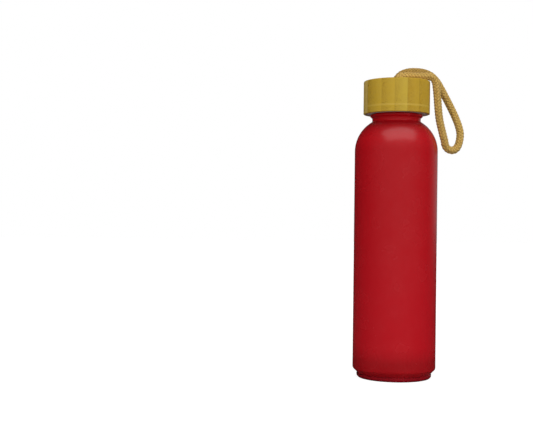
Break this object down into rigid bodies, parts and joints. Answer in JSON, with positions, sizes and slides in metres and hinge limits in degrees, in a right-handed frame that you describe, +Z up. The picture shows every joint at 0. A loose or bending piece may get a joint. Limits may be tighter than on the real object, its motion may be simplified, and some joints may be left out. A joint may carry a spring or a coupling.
{
  "type": "glass water bottle",
  "caption": "Tall frosted glass water bottle with a screw-on bamboo cap, threaded plastic liner, silicone seal and a braided cotton carry loop hanging at one side.",
  "frame": {"origin": "centre of the base, on the surface the bottle stands on", "axes": "+Z up along the bottle's axis; the cord loop hangs on the +X side, with its two holes in the cap on the Y axis"},
  "size_m": [0.0865, 0.065, 0.2457],
  "materials": {
    "frosted_glass": "red sprayed frost on glass, satin",
    "bamboo": "turned laminated bamboo, fine sanded, unvarnished",
    "liner_plastic": "moulded polypropylene, natural white",
    "seal_silicone": "translucent white silicone, matt",
    "cotton_cord": "round braided cotton, natural tan"
  },
  "bodies": {
    "bottle": {"glass_bottle": "frosted_glass"},
    "seal": {"seal_ring": "seal_silicone"},
    "cap": {"bamboo_cap": "bamboo", "threaded_liner": "liner_plastic", "carry_cord": "cotton_cord", "stopper_knot_front": "cotton_cord", "stopper_knot_back": "cotton_cord"}
  },
  "joints": [
    {"name": "cap_lift", "type": "slide", "parent": "bottle", "child": "seal", "axis": [0, 0, 1], "range_m": [0, 0.01693]},
    {"name": "cap_turn", "type": "hinge", "parent": "seal", "child": "cap", "pos_m": [0, 0, 0.2075], "axis": [0, 0, 1], "range_deg": [0, 1440]}
  ],
  "couplings": [
    {"joint": "cap_lift", "follows": "cap_turn", "m_per_rad": 0.00067322}
  ]
}
